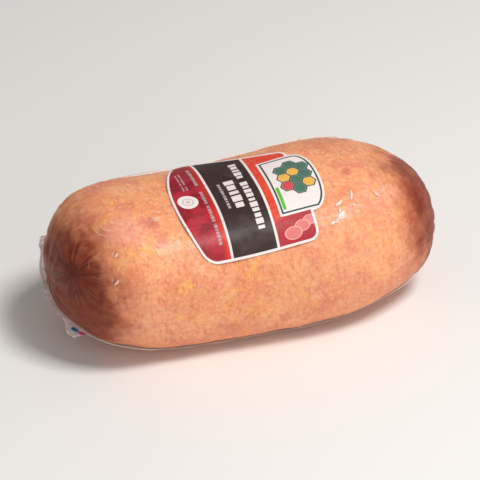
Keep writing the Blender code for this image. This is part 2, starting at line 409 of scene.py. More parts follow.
def make_shell(name: str, inner: Array, outer: Array) -> Piece:
    """Return the closed thin shell between two grids of points of one size.

    Args:
        name: its name.
        inner: the side towards the ham.
        outer: the side away from it.

    Returns:
        The piece.
    """
    rows, columns = inner.shape[:2]
    count = rows * columns
    cells = quads(rows, columns, False)
    first, last = np.arange(columns), (rows - 1) * columns + np.arange(columns)
    down = np.arange(rows) * columns
    rim = np.concatenate([first, down[1:] + columns - 1, last[-2::-1], down[-2:0:-1]])
    after = np.roll(rim, -1)
    walls = np.stack([rim, after, after + count, rim + count], -1)
    faces = cells.tolist() + (cells[:, ::-1] + count).tolist() + walls.tolist()
    points = np.concatenate([outer.reshape(-1, 3), inner.reshape(-1, 3)])
    piece = make_piece(name, points, faces)
    face_outwards(piece)
    return piece


def face_outwards(piece: Piece) -> None:
    """Turn the faces of a closed mesh outwards.

    Args:
        piece: the piece that has the mesh.
    """
    model = bmesh.new()
    model.from_mesh(piece.data)
    bmesh.ops.recalc_face_normals(model, faces=model.faces)
    model.to_mesh(piece.data)
    model.free()
    piece.data.shade_smooth()


def note(piece: Piece, name: str, values: Array) -> None:
    """Store a number or a vector for each point, which a material can read by its name.

    Args:
        piece: the piece.
        name: the note's name.
        values: one for each point, or half as many where a shell's two sides share them.
    """
    count = len(piece.data.vertices)
    flat = values.reshape(-1, values.shape[-1] if values.shape[-1] == 3 else 1)
    flat = np.tile(flat, (count // len(flat), 1))
    kind, key = ("FLOAT", "value") if flat.shape[1] == 1 else ("FLOAT_VECTOR", "vector")
    layer = piece.data.attributes.new(name, kind, "POINT")
    layer.data.foreach_set(key, np.ascontiguousarray(flat, np.float32).ravel())


def joins(operation: str, turned: bool = False) -> Callable[["Value", Any], "Value"]:
    """Return a method of a value that joins it to another number with a Math node.

    Args:
        operation: what the node does.
        turned: True where the other number comes first.

    Returns:
        The method.
    """

    def method(self: "Value", other: Any) -> "Value":
        """Return the joined number."""
        return self.graph.math(operation, *((other, self) if turned else (self, other)))

    return method


class Value:
    """A number in a material's graph. Arithmetic on it adds Math nodes.

    Args:
        graph: the graph that it belongs to.
        socket: the output that gives the number.
    """

    def __init__(self, graph: "Graph", socket: bpy.types.NodeSocket) -> None:
        """Keep the graph and the socket."""
        self.graph = graph
        self.socket = socket

    def __abs__(self) -> "Value":
        """Return the size without its sign."""
        return self.graph.math("ABSOLUTE", self)

    __add__ = __radd__ = joins("ADD")
    __mul__ = __rmul__ = joins("MULTIPLY")
    __sub__, __rsub__ = joins("SUBTRACT"), joins("SUBTRACT", turned=True)
    __truediv__, __pow__ = joins("DIVIDE"), joins("POWER")
    most, least = joins("MAXIMUM"), joins("MINIMUM")

    def wave(self) -> "Value":
        """Return the sine."""
        return self.graph.math("SINE", self)

    def rise(self, low: float, high: float) -> "Value":
        """Return a smooth rise from 0 at low to 1 at high.

        Args:
            low: where it starts.
            high: where it ends.

        Returns:
            The rise.
        """
        settings = {"interpolation_type": "SMOOTHSTEP"}
        sockets = {"Value": self, "From Min": low, "From Max": high}
        return self.graph.value("ShaderNodeMapRange", settings, sockets, "Result")

    def fall(self, low: float, high: float) -> "Value":
        """Return a smooth fall from 1 at low to 0 at high."""
        return 1.0 - self.rise(low, high)

    def past(self, edge: float, blur: float) -> "Value":
        """Return 1 above an edge and 0 below it, with a soft step."""
        return self.rise(edge - blur, edge + blur)

    def under(self, edge: float, blur: float) -> "Value":
        """Return 1 below an edge and 0 above it, with a soft step."""
        return self.fall(edge - blur, edge + blur)

    def within(self, low: float, high: float) -> "Value":
        """Return the number, kept between two others."""
        return self.least(high).most(low)


class Graph:
    """A material's graph of nodes.

    Args:
        name: the material's name.
    """

    def __init__(self, name: str) -> None:
        """Start an empty material."""
        self.material = bpy.data.materials.new(name)
        self.material.use_nodes = True
        self.tree = self.material.node_tree
        self.tree.nodes.clear()

    def node(self, kind: str, settings: dict[str, Any], sockets: dict[Any, Any]) -> bpy.types.Node:
        """Add a node.

        Args:
            kind: its type.
            settings: its properties, which are set first.
            sockets: values or links of its inputs, by name or number.

        Returns:
            The new node.
        """
        node = self.tree.nodes.new(kind)
        for key, setting in settings.items():
            setattr(node, key, setting)
        for key, given in sockets.items():
            source = given.socket if isinstance(given, Value) else given
            if isinstance(source, bpy.types.NodeSocket):
                self.tree.links.new(source, node.inputs[key])
            else:
                node.inputs[key].default_value = source
        return node

    def value(self, kind: str, settings: dict[str, Any], sockets: dict[Any, Any], output: Any) -> Value:
        """Add a node and return one of its outputs."""
        return Value(self, self.node(kind, settings, sockets).outputs[output])

    def math(self, operation: str, *numbers: Any) -> Value:
        """Add a Math node."""
        return self.value("ShaderNodeMath", {"operation": operation}, dict(enumerate(numbers)), 0)

    def vector(self, operation: str, *given: Any, output: Any = 0) -> Value:
        """Add a Vector Math node."""
        settings = {"operation": operation}
        return self.value("ShaderNodeVectorMath", settings, dict(enumerate(given)), output)

    def mix(self, share: Any, first: Any, second: Any, blend: str = "MIX") -> Value:
        """Return a colour between two colours."""
        settings = {"data_type": "RGBA", "blend_type": blend}
        return self.value("ShaderNodeMix", settings, {"Factor": share, 6: first, 7: second}, 2)

    def place(self) -> Value:
        """Return the place on the finished object."""
        return self.value("ShaderNodeTexCoord", {}, {}, "Object")

    def noted(self, name: str, output: str = "Fac") -> Value:
        """Return what is stored at the points under a name."""
        return self.value("ShaderNodeAttribute", {"attribute_name": name}, {}, output)

    def noise(
        self, place: Any, scale: float, detail: float = 2.0, roughness: float = 0.5,
        shift: Point | None = None,
    ) -> Value:
        """Return soft noise from 0 to 1.

        Args:
            place: where it is read.
            scale: patches to a metre.
            detail: how many finer layers it has.
            roughness: how strong each finer layer is.
            shift: a vector that moves the place, so that the noise there differs.

        Returns:
            The noise.
        """
        if shift:
            place = self.vector("ADD", place, shift)
        sockets = {"Vector": place, "Scale": scale, "Detail": detail, "Roughness": roughness}
        return self.value("ShaderNodeTexNoise", {"noise_dimensions": "3D"}, sockets, 0)

    def number(self, operation: str, *given: Any) -> Value:
        """Add a Vector Math node whose result is a number."""
        return self.vector(operation, *given, output="Value")

    def parts(self, name: str) -> tuple[Value, Value]:
        """Return the first two parts of a vector that is stored at the points under a name."""
        node = self.node("ShaderNodeSeparateXYZ", {}, {0: self.noted(name, "Vector")})
        return Value(self, node.outputs[0]), Value(self, node.outputs[1])

    def bump(self, height: Value, depth: float, strength: float = 1.0) -> Value:
        """Return a normal bent by heights from 0 to 1 that stand for a depth."""
        sockets = {"Height": height, "Distance": depth, "Strength": strength}
        return self.value("ShaderNodeBump", {}, sockets, "Normal")

    def surface(self, sockets: dict[str, Any]) -> Material:
        """Finish the graph with a Principled shader and return the material.

        Args:
            sockets: what feeds the shader.

        Returns:
            The material.
        """
        shader = self.node("ShaderNodeBsdfPrincipled", {}, sockets)
        output = self.node("ShaderNodeOutputMaterial", {}, {})
        self.tree.links.new(shader.outputs["BSDF"], output.inputs["Surface"])
        return self.material


class Ink:
    """A colour that is built up in layers.

    Args:
        graph: the material's graph.
        ground: the first colour.
    """

    def __init__(self, graph: Graph, ground: Any) -> None:
        """Start with the first colour."""
        self.graph = graph
        self.colour = ground

    def lay(self, share: Any, tint: Any) -> None:
        """Lay a tint over the colour, by a share from 0 to 1."""
        self.colour = self.graph.mix(share, self.colour, tint)


@dataclass(frozen=True)
class Patch:
    """A soft patch of another tint on the skin: its centre and its radius in metres."""

    centre: Point
    radius: float
    tint: Colour
    strength: float


@dataclass(frozen=True)
class MeatFinish:
    """Smoked, honey glazed skin seen through clinging film: mottled orange with pink and yellow
    patches, which turns to dark red brown towards the ends: partly browner skin where it is gathered,
    and partly painted shade."""

    ground: Colour = paint(238, 152, 108)
    light: Colour = paint(247, 172, 124)
    ruddy: Colour = paint(218, 120, 84)
    yellow: Colour = paint(248, 176, 94)
    pink: Colour = paint(226, 132, 110)
    spot: Colour = paint(190, 92, 66)
    pale: Colour = paint(253, 198, 154)
    smoke_and_shade: Colour = paint(146, 52, 26)
    char_and_shade: Colour = paint(82, 19, 8)
    amber: Colour = paint(176, 88, 44)
    roughness: float = 0.50
    coat: float = 0.15
    coat_roughness: float = 0.20
    gloss: float = 0.18
    soft_depth: float = 0.003
    soft_share: float = 0.08
    relief_depth: float = 0.0008
    grain_stretch: Point = (2.4, 1.0, 1.0)
    patches: tuple[Patch, ...] = ()

    def mottles(self, graph: Graph, place: Value) -> Ink:
        """Return the skin's colour away from the ends: noise at five sizes, from 30 mm down to 1 mm.

        The yellow blotches keep to some zones and grow fewer towards the right end.

        Args:
            graph: the material's graph.
            place: the place on the object.

        Returns:
            The colour.
        """
        stretched = graph.vector("MULTIPLY", place, self.grain_stretch)
        ink = Ink(graph, self.ground)
        ink.lay(graph.noise(place, 30.0).rise(0.34, 0.66), self.light)
        zone = graph.noise(place, 24.0, shift=(9.0, 2.0, 5.0)).rise(0.42, 0.60)
        rightwards = graph.number("DOT_PRODUCT", place, (1.0, 0.0, 0.0)).rise(-0.02, 0.08)
        zone = zone * (1.0 - 0.55 * rightwards)
        middle = graph.noise(place, 84.0, 3.0, 0.62, (3.1, 0.7, 1.9))
        ink.lay(middle.rise(0.50, 0.62) * zone * 0.85, self.yellow)
        blush = graph.noise(place, 46.0, 3.0, 0.6, (1.7, 8.0, 3.3))
        ink.lay(blush.rise(0.50, 0.66) * 0.70, self.pink)
        ruddy = graph.noise(stretched, 120.0, 3.0, 0.6, (5.5, 2.0, 8.0))
        ink.lay(ruddy.rise(0.52, 0.68) * 0.60, self.ruddy)
        freckle = graph.noise(place, 170.0, 2.0, 0.5, (4.4, 4.1, 0.6))
        ink.lay(freckle.rise(0.66, 0.76) * 0.45, self.spot)
        return ink

    def lay_smoke_and_shade(self, ink: Ink, place: Value, shade: Value, streak: Value, edge: Value) -> None:
        """Lay painted shade in dark red brown, partly browner smoked skin, where the ends are shaded or
        folded, with uneven borders.

        Args:
            ink: the skin's colour so far.
            place: the place on the object.
            shade: how much painted shade, partly browner skin, lies there.
            streak: how much painted shade lies in the folds there.
            edge: the noise that makes borders uneven.
        """
        graph = ink.graph
        wide = graph.noise(place, 42.0, 3.0, 0.55, (6.3, 3.1, 9.2))
        uneven = (edge - 0.5) * 0.9 + (wide - 0.5) * 1.6
        border = shade.rise(0.0, 0.5) * shade.fall(0.7, 1.1)
        smoke_and_shade_share = (shade + border * uneven + streak * 0.20).within(0.0, 1.0)
        ink.lay(smoke_and_shade_share * 0.95, self.smoke_and_shade)
        lit = graph.noise(place, 120.0, 3.0, 0.6, (8.1, 4.6, 2.7)).rise(0.50, 0.68)
        ink.lay(lit * smoke_and_shade_share * (1.0 - streak) * 0.50, self.amber)
        # The darkest red brown: painted shade, deepest in the end patches and in the folds.
        burnt_and_shaded = shade.rise(0.55, 1.0) * (0.30 + edge.rise(0.4, 0.7) * 0.35) + streak * 0.42
        ink.lay(burnt_and_shaded.least(0.92), self.char_and_shade)

    def material(self, gather: "EndGather") -> Material:
        """Return the material of the meat, whose skin is drawn together at the gather.

        Args:
            gather: where the skin is drawn together.

        Returns:
            The material.
        """
        graph = Graph("smoked_honey_skin")
        place = graph.place()
        ink = self.mottles(graph, place)
        fine = graph.noise(place, 300.0, 3.0, 0.65, (0.3, 5.1, 2.2))
        grain = graph.noise(place, 800.0, 2.0, 0.6, (7.3, 1.1, 4.2))
        edge = graph.noise(place, 95.0, 3.0, 0.6, (2.3, 6.1, 1.2))
        for patch in self.patches:
            far = graph.number("DISTANCE", place, patch.centre)
            inside = (far / patch.radius + (edge - 0.5) * 1.6).fall(0.35, 1.0)
            ink.lay(inside * patch.strength, patch.tint)
        ink.lay(fine.rise(0.50, 0.70) * 0.50 + grain.rise(0.52, 0.74) * 0.24, self.pale)
        ink.lay(fine.fall(0.30, 0.50) * 0.44 + grain.fall(0.26, 0.48) * 0.18, self.ruddy)
        # Painted shade at both ends and in the folds, partly browner smoked skin.
        shade = graph.noted("end_shade")
        streak = gather.streaks(graph, place)
        self.lay_smoke_and_shade(ink, place, shade, streak, edge)
        height = fine * 0.6 + grain * 0.4 - streak * 0.5
        return graph.surface(
            {
                "Base Color": ink.colour,
                "Roughness": self.roughness + (fine - 0.5) * 0.3,
                "Normal": graph.bump(height, self.relief_depth, 0.6),
                "Specular IOR Level": self.gloss,
                "Coat Weight": (1.0 - shade * 0.6) * self.coat,
                "Coat Roughness": self.coat_roughness,
                "Coat IOR": 1.45,
                "Subsurface Weight": self.soft_share,
                "Subsurface Radius": (1.0, 0.36, 0.20),
                "Subsurface Scale": self.soft_depth,
            }
        )


@dataclass(frozen=True)
class EndGather:
    """The point on the left end where the skin is drawn together, with folds that fan out of it."""

    centre: Point = (-0.1640, -0.0420, 0.0960)
    ahead: Point = (0.50, -0.55, 0.67)
    across: Point = (0.33, 0.83, 0.44)
    reach: float = 0.034
    depth: float = 0.0005
    fold_count: int = 19
    fold_twist: float = 1.5
    fold_from: Pair = (0.003, 0.012)
    fold_fade: Pair = (0.5, 1.3)
    streak_folds: float = 8.5
    streak_breaks: float = 22.0
    streak_fade: Pair = (0.45, 1.15)
    knot: Pair = (0.002, 0.013)
    knot_dark: float = 0.85

    def relief(self, points: Array) -> Array:
        """Return the height of the folds: sines of the turn round the centre, inside its reach.

        Args:
            points: places, with x, y and z on the last axis.

        Returns:
            One height for each point.
        """
        off = points - np.array(self.centre)
        turn = np.arctan2(off @ np.array(self.across), off @ np.array(self.ahead))
        far = np.linalg.norm(off, axis=-1)
        fade = smooth_step(far, *(share * self.reach for share in self.fold_fade))
        crest = np.abs(np.sin(0.5 * self.fold_count * turn + self.fold_twist * far / self.reach))
        return self.depth * smooth_step(far, *self.fold_from) * (1.0 - fade) * (0.5 - crest)

    def streaks(self, graph: Graph, place: Value) -> Value:
        """Return the painted shade in the folds: noise of the turn round the centre, drawn out along
        them, darkest at the knot in the centre.

        Args:
            graph: the material's graph.
            place: the place on the object.

        Returns:
            How much painted shade lies in the folds, from 0 to 1.
        """
        off = graph.vector("SUBTRACT", place, self.centre)
        ahead, across = (graph.number("DOT_PRODUCT", off, way) for way in (self.ahead, self.across))
        turn, far = graph.math("ARCTAN2", across, ahead), graph.number("LENGTH", off)
        drawn = {"X": turn * self.streak_folds, "Y": far * self.streak_breaks, "Z": 0.3}
        lined = graph.value("ShaderNodeCombineXYZ", {}, drawn, 0)
        # Painted shade along the fold grooves, and darker still at the knot in the centre.
        lines = graph.noise(lined, 1.0, 2.0, 0.55).rise(0.42, 0.66)
        window = far.fall(*(share * self.reach for share in self.streak_fade))
        return (lines * window).most(far.fall(*self.knot) * self.knot_dark)


@dataclass(frozen=True)
class FilmFinish:
    """Clear shrink film: almost unseen where it clings, milky where it is creased or doubled. It may
    carry thin wandering lines, which are painted glints of fine wrinkles.
    """

    name: str = "clear_film"
    least_alpha: float = 0.010
    most_alpha: float = 0.80
    milk: Colour = paint(250, 232, 222)
    roughness: float = 0.20
    hairline_glints: float = 0.0
    haze: float = 0.07
    hairline_glint_sizes: tuple[Point, ...] = ((1.0, 42.0, 0.010), (6.0, 75.0, 0.014), (11.0, 130.0, 0.020))

    def hairline_glint_mask(self, graph: Graph, place: Value) -> Value:
        """Return thin wandering lines, painted glints of fine wrinkles: where soft noise crosses its
        middle, kept in some zones only.

        Args:
            graph: the material's graph.
            place: the place on the object.

        Returns:
            How clear the lines are, from 0 to 1.
        """
        lines: Any = 0.0
        for shift, scale, width in self.hairline_glint_sizes:
            moved = graph.vector("ADD", place, (shift, 2.0 * shift, 3.0))
            drawn = graph.vector("MULTIPLY", moved, (1.7, 1.0, 1.0))
            wander = graph.noise(drawn, scale, 1.5)
            zone = graph.noise(place, 38.0, shift=(4.0, shift, 8.0)).rise(0.50, 0.66)
            lines = abs(wander - 0.5).fall(0.3 * width, width) * zone + lines
        return lines.least(1.0)

    def material(self) -> Material:
        """Return the material, which reads how milky each point is from the note named milk.

        Returns:
            The material.
        """
        graph = Graph(self.name)
        place = graph.place()
        patch = graph.noise(place, 160.0, 3.0, 0.6)
        fine = graph.noise(place, 700.0, 2.0, 0.6, (2.0, 3.0, 9.0))
        share = graph.noted("milk") * (0.55 + patch * 0.9)
        if self.hairline_glints:
            crinkle = graph.noted("crinkle")
            haze = graph.noise(place, 28.0, 3.0, shift=(8.0, 8.0, 1.0)).rise(0.5, 0.8)
            # Painted glints of fine film wrinkles.
            share = share + self.hairline_glint_mask(graph, place) * crinkle * self.hairline_glints
            share = share + haze * crinkle * self.haze
        alpha = self.least_alpha + share.least(1.0) * (self.most_alpha - self.least_alpha)
        return graph.surface(
            {
                "Base Color": self.milk,
                "Roughness": self.roughness + (patch - 0.5) * 0.2,
                "Alpha": alpha.within(0.0, 1.0),
                "Normal": graph.bump(fine, 0.0004, 0.4),
                "Specular IOR Level": 0.7,
            }
        )


@dataclass(frozen=True)
class FinFinish:
    """Doubled, heat sealed film of a seam: milky, with a paler ribbed band along its weld and a painted
    highlight along its free edge.

    It may carry two plain printed marks, placed by millimetres along the seam and shares of the
    fin's height.
    """

    milk: Colour = paint(243, 226, 220)
    blue: Colour = paint(30, 120, 170)
    rose: Colour = paint(222, 92, 132)
    marked: bool = False
    blue_mark: tuple[Pair, Pair] = ((-44.0, 0.60), (3.0, 0.11))
    rose_mark: tuple[Pair, Pair] = ((-49.4, 0.56), (2.4, 0.12))
    weld_at: float = 0.74
    ribs: float = 5.2
    most_alpha: float = 0.96

    def material(self) -> Material:
        """Return the material, which reads the place along the seam and up the fin.

        Returns:
            The material.
        """
        graph = Graph("sealed_film_marked" if self.marked else "sealed_film")
        along, height = graph.parts("fin_place")
        patch = graph.noise(graph.place(), 210.0, 3.0, 0.65)
        weld = abs(height - self.weld_at).fall(0.10, 0.22)
        ribs = (along * self.ribs).wave().rise(-0.6, 0.9)
        # Painted highlight along the free edge: the film is much milkier there.
        edge = height.rise(0.90, 0.98)
        alpha = 0.32 + patch.rise(0.42, 0.72) * 0.30 + weld * (0.10 + ribs * 0.06) + edge * 0.50
        ink = Ink(graph, self.milk)
        if self.marked:
            rose = self.mark(along, height, *self.rose_mark)
            blue = self.mark(along, height, *self.blue_mark)
            ink.lay(rose, self.rose)
            ink.lay(blue, self.blue)
            alpha = alpha + (blue + rose) * 0.5
        return graph.surface(
            {
                "Base Color": ink.colour,
                "Roughness": 0.22 + (patch - 0.5) * 0.2,
                "Alpha": alpha.least(self.most_alpha),
                "Normal": graph.bump(patch, 0.0010, 0.6),
                "Specular IOR Level": 0.7,
            }
        )

    @staticmethod
    def mark(along: Value, height: Value, centre: Pair, half: Pair) -> Value:
        """Return a plain printed mark: an oblong with soft corners.

        Args:
            along: the place along the seam.
            height: the share of the fin's height.
            centre: the mark's middle.
            half: its half sizes.

        Returns:
            The mark's mask.
        """
        across = abs(along - centre[0]) / half[0]
        up = abs(height - centre[1]) / half[1]
        return (across**4.0 + up**4.0).fall(0.7, 1.2)


@dataclass(frozen=True)
class WordRow:
    """A row of blocks on the label, in millimetres: where it runs, its height and its rhythm."""

    centre: float
    half: float
    start: float
    end: float
    pitch: float
    length: float
    gaps: tuple[float, ...] = ()
    strength: float = 1.0
    uneven: float = 0.10


@dataclass(frozen=True)
class PrintFinish:
    """The label's print: plain fields of colour, bars in place of words, and honeycomb cells.

    Its places are in millimetres: across is x and down is the arc.
    """

    white: Colour = paint(240, 228, 226)
    deep_red: Colour = paint(140, 24, 38)
    red: Colour = paint(184, 40, 56)
    bright: Colour = paint(218, 56, 40)
    orange: Colour = paint(230, 84, 56)
    black: Colour = paint(56, 40, 37)
    grey: Colour = paint(188, 176, 178)
    green: Colour = paint(40, 84, 70)
    leaf: Colour = paint(96, 186, 66)
    slice_pink: Colour = paint(220, 120, 118)
    slice_rim: Colour = paint(240, 176, 160)
    dark_patch: Colour = paint(176, 44, 56)
    first_line: float = -29.0
    second_line: float = 13.0
    line_half: float = 1.1
    border: float = 2.3
    fold_lines: Pair = (-2.0, 49.0)
    roughness: float = 0.46
    gloss: float = 0.2
    coat: float = 0.04
    coat_roughness: float = 0.20

    def material(self) -> Material:
        """Return the material of the printed label.

        Returns:
            The material.
        """
        graph = Graph("label_print")
        press = Press(graph, self)
        press.left_field()
        press.middle_field()
        press.right_field()
        press.lines()
        press.badge()
        press.fold_lines_and_cloud()
        sheen = graph.noise(graph.place(), 240.0, 2.0, 0.6, (1.0, 2.0, 3.0))
        return graph.surface(
            {
                "Base Color": press.colour,
                "Roughness": self.roughness + (sheen - 0.5) * 0.2,
                "Normal": graph.bump(sheen, 0.0005, 0.35),
                "Specular IOR Level": self.gloss,
                "Coat Weight": self.coat,
                "Coat Roughness": self.coat_roughness,
            }
        )


class Press(Ink):
    """Lays the label's print, field by field, with masks worked out from the place in millimetres.

    Args:
        graph: the material's graph.
        finish: the print's colours and lines.
    """

    SOFT = 0.25

    def __init__(self, graph: Graph, finish: PrintFinish) -> None:
        """Start with the first field's colour and read the places."""
        super().__init__(graph, finish.deep_red)
        self.finish = finish
        self.across, self.down = graph.parts("print_place")
        self.rim = graph.noted("print_rim")
        self.place = graph.place()

    def away(self, centre: Pair, size: Pair = (1.0, 1.0)) -> Value:
        """Return the distance from a centre, in units of a size across and a size down."""
        side, end = (self.across - centre[0]) / size[0], (self.down - centre[1]) / size[1]
        return (side**2.0 + end**2.0) ** 0.5

    def words(self, row: WordRow, tint: Colour) -> None:
        """Lay a row of plain blocks that stands where words would be.

        The row is folded into cells of one pitch. Sines of the cell's number make the blocks longer
        or shorter and taller or lower, and gaps part them into groups.

        Args:
            row: where the row runs, and its rhythm.
            tint: its colour.
        """
        from_start = self.down - row.start
        fold = self.graph.math("WRAP", from_start, row.pitch, 0.0)
        cell = self.graph.math("FLOOR", from_start / row.pitch)
        length = 0.5 * row.length + (cell * 2.4).wave() * (0.14 * row.length)
        height = row.half + (cell * 4.1 + 1.0).wave() * (row.uneven * row.half)
        block = (abs(fold - 0.5 * row.pitch) - length).under(0.0, self.SOFT)
        side = (abs(self.across - row.centre) - height).under(0.0, self.SOFT)
        inside = from_start.past(0.0, 0.2) * (row.end - self.down).past(0.0, 0.2)
        for gap in row.gaps:
            inside = inside * abs(self.down - gap).rise(0.5 * row.pitch - 0.4, 0.5 * row.pitch - 0.1)
        self.lay(block * side * inside * row.strength, tint)

    def left_field(self) -> None:
        """Lay the red field left of the first line, with bars and a pale disc."""
        finish, down = self.finish, self.down
        stain = self.graph.noise(self.place, 75.0)
        self.lay(stain.rise(0.35, 0.65) * (0.25 + 0.75 * down.rise(-40.0, 20.0)), finish.red)
        glow = (self.across - finish.first_line).rise(-9.0, -1.0)
        self.lay(glow * (0.55 + 0.45 * down.rise(20.0, 60.0)), finish.bright)
        for row in LEFT_ROWS:
            self.words(row, finish.grey)
        off = self.away(DISC_CENTRE)
        self.lay(off.under(DISC_RADIUS, 0.3), finish.white)
        ring = abs(off - 0.50 * DISC_RADIUS).fall(0.5, 1.1)
        dot = off.fall(0.18 * DISC_RADIUS, 0.30 * DISC_RADIUS)
        self.lay((ring + dot).least(1.0) * 0.7, finish.grey)

    def middle_field(self) -> None:
        """Lay the near black band right of the first line, with rows of white blocks."""
        self.lay(self.across.past(self.finish.first_line, 0.2), self.finish.black)
        for row in BAND_ROWS:
            self.words(row, self.finish.white)

    def right_field(self) -> None:
        """Lay the orange red field right of the second line, with dark patch and slices at its foot."""
        finish, graph = self.finish, self.graph
        field = Ink(graph, finish.orange)
        field.lay(graph.noise(self.place, 260.0, 3.0, 0.7).rise(0.38, 0.62) * 0.85, finish.bright)
        field.lay((self.down + self.across * 0.22).rise(62.0, 67.0), finish.dark_patch)
        marble = graph.noise(self.place, 420.0)
        for centre, size in SLICES:
            oval = self.away(centre, size)
            field.lay(oval.fall(0.96, 1.04), finish.slice_rim)
            field.lay(oval.fall(0.84, 0.92) * (0.70 + marble * 0.5), finish.slice_pink)
        self.lay(self.across.past(finish.second_line, 0.2), field.colour)

    def lines(self) -> None:
        """Lay the two white lines and the white border."""
        finish = self.finish
        for line in (finish.first_line, finish.second_line):
            self.lay(abs(self.across - line).under(finish.line_half, 0.3), finish.white)
        self.lay(self.rim.under(finish.border, 0.3), finish.white)

    def badge(self) -> None:
        """Lay the white panel, with a green outline, a cluster of honeycomb cells and a green bar.

        A cell is a hexagon: its distance is the largest of three slanted widths.
        """
        finish, across, down = self.finish, self.across, self.down
        off = (BADGE_LEFT - across).most(BADGE_TOP - down).most(down - BADGE_BOTTOM)
        panel = off.under(0.0, self.SOFT)
        self.lay(panel, finish.white)
        outline = abs((0.0 - off).least(self.rim) - 2.9).fall(0.6, 1.1)
        self.lay(outline * panel, finish.green)
        slope = math.cos(math.pi / 6.0)
        for column, row, tint in COMB_CELLS:
            middle = COMB_MIDDLE[1] + 2.0 * COMB_RADIUS * (row + 0.5 * (column % 2))
            flat = abs(down - middle)
            slant = abs(across - (COMB_MIDDLE[0] + 2.0 * COMB_RADIUS * slope * column))
            cell = (flat * 0.5 + slant * slope).most(flat)
            self.lay(abs(cell - COMB_RADIUS).fall(0.35, 0.8), finish.green)
            self.lay(cell.fall(COMB_RADIUS - 1.0, COMB_RADIUS - 0.4) * 0.95, tint)
        side, end = abs(across - BAR_MIDDLE[0]) - BAR_HALF[0], abs(down - BAR_MIDDLE[1]) - BAR_HALF[1]
        self.lay(side.most(end).under(0.0, self.SOFT), finish.leaf)

    def fold_lines_and_cloud(self) -> None:
        """Lay the two fold lines, which fade to the right, and a faint pale cloud."""
        first, second = (abs(self.down - at).fall(0.2, 0.9) for at in self.finish.fold_lines)
        # Darker along the two fold lines.
        self.lay((first + second) * self.across.fall(-24.0, 20.0) * 0.34, self.finish.black)
        cloud = self.graph.noise(self.place, 60.0, 3.0, 0.6)
        self.lay(cloud.rise(0.45, 0.75) * 0.03, self.finish.white)


LEFT_ROWS = (
    WordRow(-50.0, 0.7, -28.0, 2.0, 7.5, 5.6, strength=0.65, uneven=0.0),
    WordRow(-46.6, 0.7, -30.0, 4.0, 11.3, 8.6, strength=0.65, uneven=0.0),
    WordRow(-36.6, 1.4, -36.0, -4.0, 3.2, 2.3, strength=0.75),
    WordRow(-36.6, 1.4, 6.4, 70.4, 3.2, 2.3, (26.4, 48.8), 0.75),
)
BAND_ROWS = (
    WordRow(2.4, 3.1, -29.0, 65.4, 5.9, 4.3, (3.45,), 0.94),
    WordRow(-9.4, 4.1, -2.0, 39.6, 8.32, 6.2, strength=0.94),
    WordRow(-18.8, 1.2, 0.5, 37.5, 3.7, 2.8, strength=0.50),
)
DISC_CENTRE, DISC_RADIUS = (-51.6, 18.7), 9.2
BADGE_LEFT, BADGE_TOP, BADGE_BOTTOM = 21.0, -15.0, 58.5
BAR_MIDDLE, BAR_HALF = (27.0, 40.0), (1.5, 12.5)
# Slices, back to front: centre and half sizes
SLICES = (
    ((45.0, 67.0), (6.0, 4.6)),
    ((37.5, 70.5), (7.0, 5.2)),
    ((28.5, 75.0), (8.0, 5.8)),
)
# Honeycomb: the first cell's middle, the half width of a cell, and each cell's column, row and tint
COMB_MIDDLE, COMB_RADIUS = (37.0, 6.0), 5.6
FIR, HONEY, CHERRY = paint(52, 104, 84), paint(236, 176, 60), paint(206, 52, 62)
COMB_CELLS = (
    (0, 0, FIR), (0, 1, HONEY), (0, 2, CHERRY), (1, -1, FIR), (1, 0, HONEY),
    (1, 1, FIR), (1, 2, FIR), (2, 0, FIR), (2, 2, HONEY), (2, 1, FIR),
)


@dataclass(frozen=True)
class FloorFinish:
    """A pale matt studio floor."""

    pale: Colour = paint(240, 239, 237)
    dull: Colour = paint(226, 225, 222)
    roughness: float = 0.7

    def material(self) -> Material:
        """Return the material."""
        graph = Graph("studio_floor")
        colour = graph.mix(graph.noise(graph.place(), 3.0) * 0.04, self.pale, self.dull)
        return graph.surface({"Base Color": colour, "Roughness": self.roughness})


class Part:
    """A piece of the wrapped ham. Each kind works out its own mesh, and all are dressed alike."""

    def mesh(self) -> Piece:
        """Return the piece, with the notes that its material reads."""
        raise NotImplementedError

    def build(self, material: Material, slot: Slot = Slot.FILM, node: Node = Node.HAM) -> None:
        """Make the piece, give it its finish and its body, and hide the solid it stands for.

        Args:
            material: its finish.
            slot: the record's slot, which is not used.
            node: the solid.
        """
        piece = self.mesh()
        piece.data.materials.append(material)
        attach(piece, "root")
        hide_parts(node.value)
        LOG.info("%s: %d faces", piece.name, len(piece.data.polygons))


